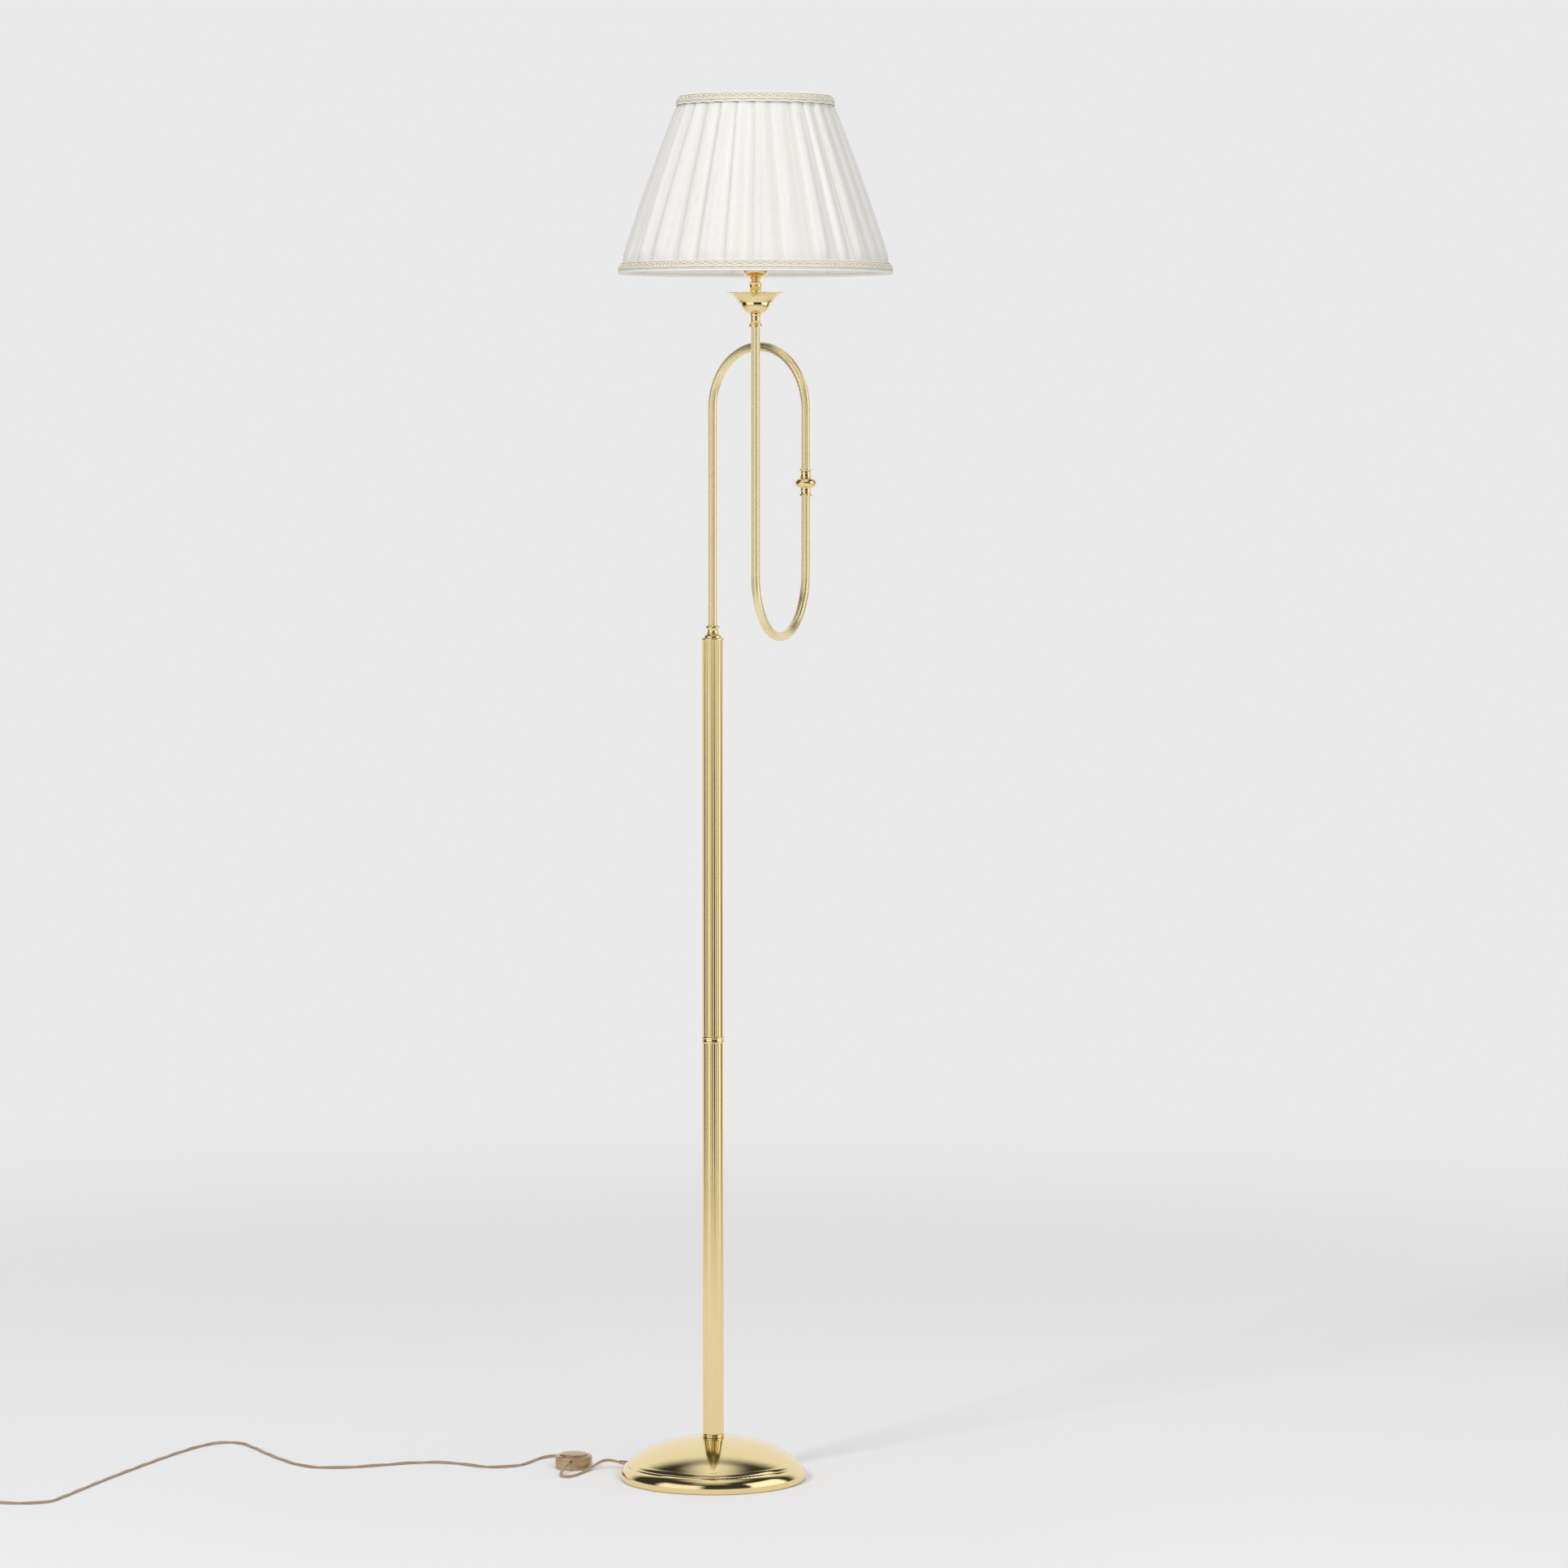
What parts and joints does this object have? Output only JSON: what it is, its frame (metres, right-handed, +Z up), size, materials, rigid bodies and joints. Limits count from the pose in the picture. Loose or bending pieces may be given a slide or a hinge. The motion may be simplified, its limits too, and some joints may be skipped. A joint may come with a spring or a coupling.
{
  "type": "swing-arm floor lamp",
  "caption": "Floor lamp with a domed base, fluted pole, curved tube arms joined by a swivel, a pleated tapered shade and a foot switch on its cord.",
  "frame": {"origin": "on the floor under the pole's axis, at the centre of the round base's felt", "axes": "+Z up along the pole; -Y is the lamp's front; +X is to its right, and the foot switch and cord lie on the -X side"},
  "size_m": [1.2228, 0.6847, 1.8006],
  "materials": {
    "polished_brass": "polished, lacquered",
    "fluted_brass": "polished, drawn with fine flutes",
    "arm_brass": "satin polish, drawn with fine flutes",
    "brass_contact": "stamped",
    "iron": "rough cast",
    "steel": "zinc plated",
    "bulb_metal": "bright",
    "felt": "pressed felt",
    "bronze_plastic": "metallic bronze gold, satin",
    "gasket_rubber": "matt",
    "cord_plastic": "satin bronze gold",
    "lead_plastic": "smooth",
    "white_plastic": "smooth",
    "bulb_glass": "frosted",
    "frame_enamel": "white enamel",
    "pleated_cloth": "soft pleated voile",
    "lining_cloth": "plain linen weave",
    "braid_trim": "woven braid of interlaced ovals",
    "piping_trim": "corded piping"
  },
  "bodies": {
    "stand": {"base_cover": "polished_brass", "base_weight": "iron", "base_felt": "felt", "base_washer": "steel", "base_nut": "steel", "base_nipple": "steel", "cord_relief": "bronze_plastic", "pole_collar": "polished_brass", "pole_foot_plug": "steel", "pole_lower": "fluted_brass", "pole_upper": "fluted_brass", "pole_coupler": "steel", "pole_ring": "polished_brass", "top_collar": "polished_brass", "arm_tube": "arm_brass", "knuckle_upper": "polished_brass", "knuckle_washer": "white_plastic", "knuckle_shaft": "steel", "knuckle_nut": "steel", "pole_lead": "lead_plastic", "switch_base": "bronze_plastic", "switch_cover": "bronze_plastic", "switch_gasket": "gasket_rubber", "switch_spring": "steel", "switch_block": "white_plastic", "switch_terminals": "brass_contact", "cord_to_switch": "cord_plastic", "cord_to_coil": "cord_plastic", "cord_to_plug": "cord_plastic", "cord_coil": "cord_plastic", "plug_relief": "cord_plastic", "plug_body": "cord_plastic", "plug_pins": "bulb_metal"},
    "head_arm": {"head_tube": "arm_brass", "knuckle_lower": "polished_brass", "head_neck": "polished_brass", "bowl": "polished_brass", "drip_dish": "polished_brass", "spindle": "polished_brass", "holder_cup": "polished_brass", "head_rod": "steel", "rod_nut": "steel", "lamp_holder": "white_plastic", "screw_shell": "brass_contact", "centre_contact": "brass_contact", "fitter_rings": "white_plastic", "bulb_cap": "bulb_metal", "bulb_glass": "bulb_glass", "shade_fabric": "pleated_cloth", "shade_lining": "lining_cloth", "bottom_braid": "braid_trim", "top_braid": "braid_trim", "bottom_piping": "piping_trim", "shade_frame": "frame_enamel", "head_lead": "lead_plastic"},
    "switch_button": {"switch_button": "bronze_plastic"}
  },
  "joints": [
    {"name": "knuckle_swivel", "type": "hinge", "parent": "stand", "child": "head_arm", "pos_m": [0.12112, -0.10455, 1.3138], "axis": [0, 0, 1], "range_deg": [-95, 235]},
    {"name": "switch_press", "type": "slide", "parent": "stand", "child": "switch_button", "axis": [0, 0, -1], "range_m": [0, 0.003], "stiffness_N_per_m": 2000}
  ]
}
